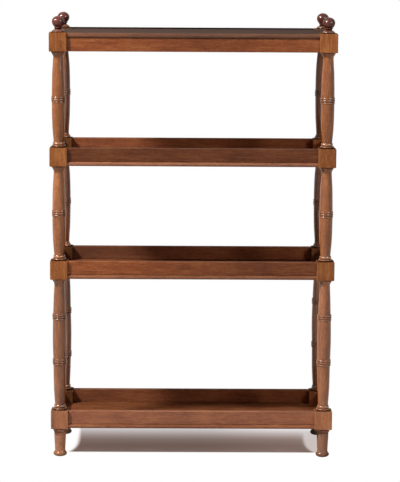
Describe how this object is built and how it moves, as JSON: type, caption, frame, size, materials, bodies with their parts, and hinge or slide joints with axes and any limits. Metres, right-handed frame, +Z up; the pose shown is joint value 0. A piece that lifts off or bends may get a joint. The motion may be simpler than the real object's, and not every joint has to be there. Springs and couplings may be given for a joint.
{
  "type": "etagere",
  "caption": "Open display stand with a moulded top over shallow walled trays, carried by turned corner posts with square blocks, ball finials and turned feet.",
  "frame": {"origin": "on the floor, under the middle of the piece: the centre of the bounding box's bottom face", "axes": "+X to the right seen from the front, +Y from the front to the back, +Z up"},
  "size_m": [0.9, 0.34, 1.407],
  "materials": {
    "post_wood": "polished mahogany, straight grain",
    "wall_wood": "polished mahogany, figured, satin gloss",
    "board_wood": "polished mahogany, darkened, satin gloss"
  },
  "bodies": {
    "root": {"top_front_left_block": "post_wood", "top_front_right_block": "post_wood", "top_back_left_block": "post_wood", "top_back_right_block": "post_wood", "top_front_apron": "wall_wood", "top_back_apron": "wall_wood", "top_left_apron": "wall_wood", "top_right_apron": "wall_wood", "top_board": "board_wood", "upper_tray_front_left_block": "post_wood", "upper_tray_front_right_block": "post_wood", "upper_tray_back_left_block": "post_wood", "upper_tray_back_right_block": "post_wood", "upper_tray_board": "board_wood", "upper_tray_front_wall": "wall_wood", "upper_tray_back_wall": "wall_wood", "upper_tray_left_wall": "wall_wood", "upper_tray_right_wall": "wall_wood", "middle_tray_front_left_block": "post_wood", "middle_tray_front_right_block": "post_wood", "middle_tray_back_left_block": "post_wood", "middle_tray_back_right_block": "post_wood", "middle_tray_board": "board_wood", "middle_tray_front_wall": "wall_wood", "middle_tray_back_wall": "wall_wood", "middle_tray_left_wall": "wall_wood", "middle_tray_right_wall": "wall_wood", "lower_tray_front_left_block": "post_wood", "lower_tray_front_right_block": "post_wood", "lower_tray_back_left_block": "post_wood", "lower_tray_back_right_block": "post_wood", "lower_tray_board": "board_wood", "lower_tray_front_wall": "wall_wood", "lower_tray_back_wall": "wall_wood", "lower_tray_left_wall": "wall_wood", "lower_tray_right_wall": "wall_wood", "front_left_foot": "post_wood", "lower_front_left_spindle": "post_wood", "middle_front_left_spindle": "post_wood", "upper_front_left_spindle": "post_wood", "front_left_finial": "post_wood", "front_right_foot": "post_wood", "lower_front_right_spindle": "post_wood", "middle_front_right_spindle": "post_wood", "upper_front_right_spindle": "post_wood", "front_right_finial": "post_wood", "back_left_foot": "post_wood", "lower_back_left_spindle": "post_wood", "middle_back_left_spindle": "post_wood", "upper_back_left_spindle": "post_wood", "back_left_finial": "post_wood", "back_right_foot": "post_wood", "lower_back_right_spindle": "post_wood", "middle_back_right_spindle": "post_wood", "upper_back_right_spindle": "post_wood", "back_right_finial": "post_wood"}
  },
  "joints": []
}
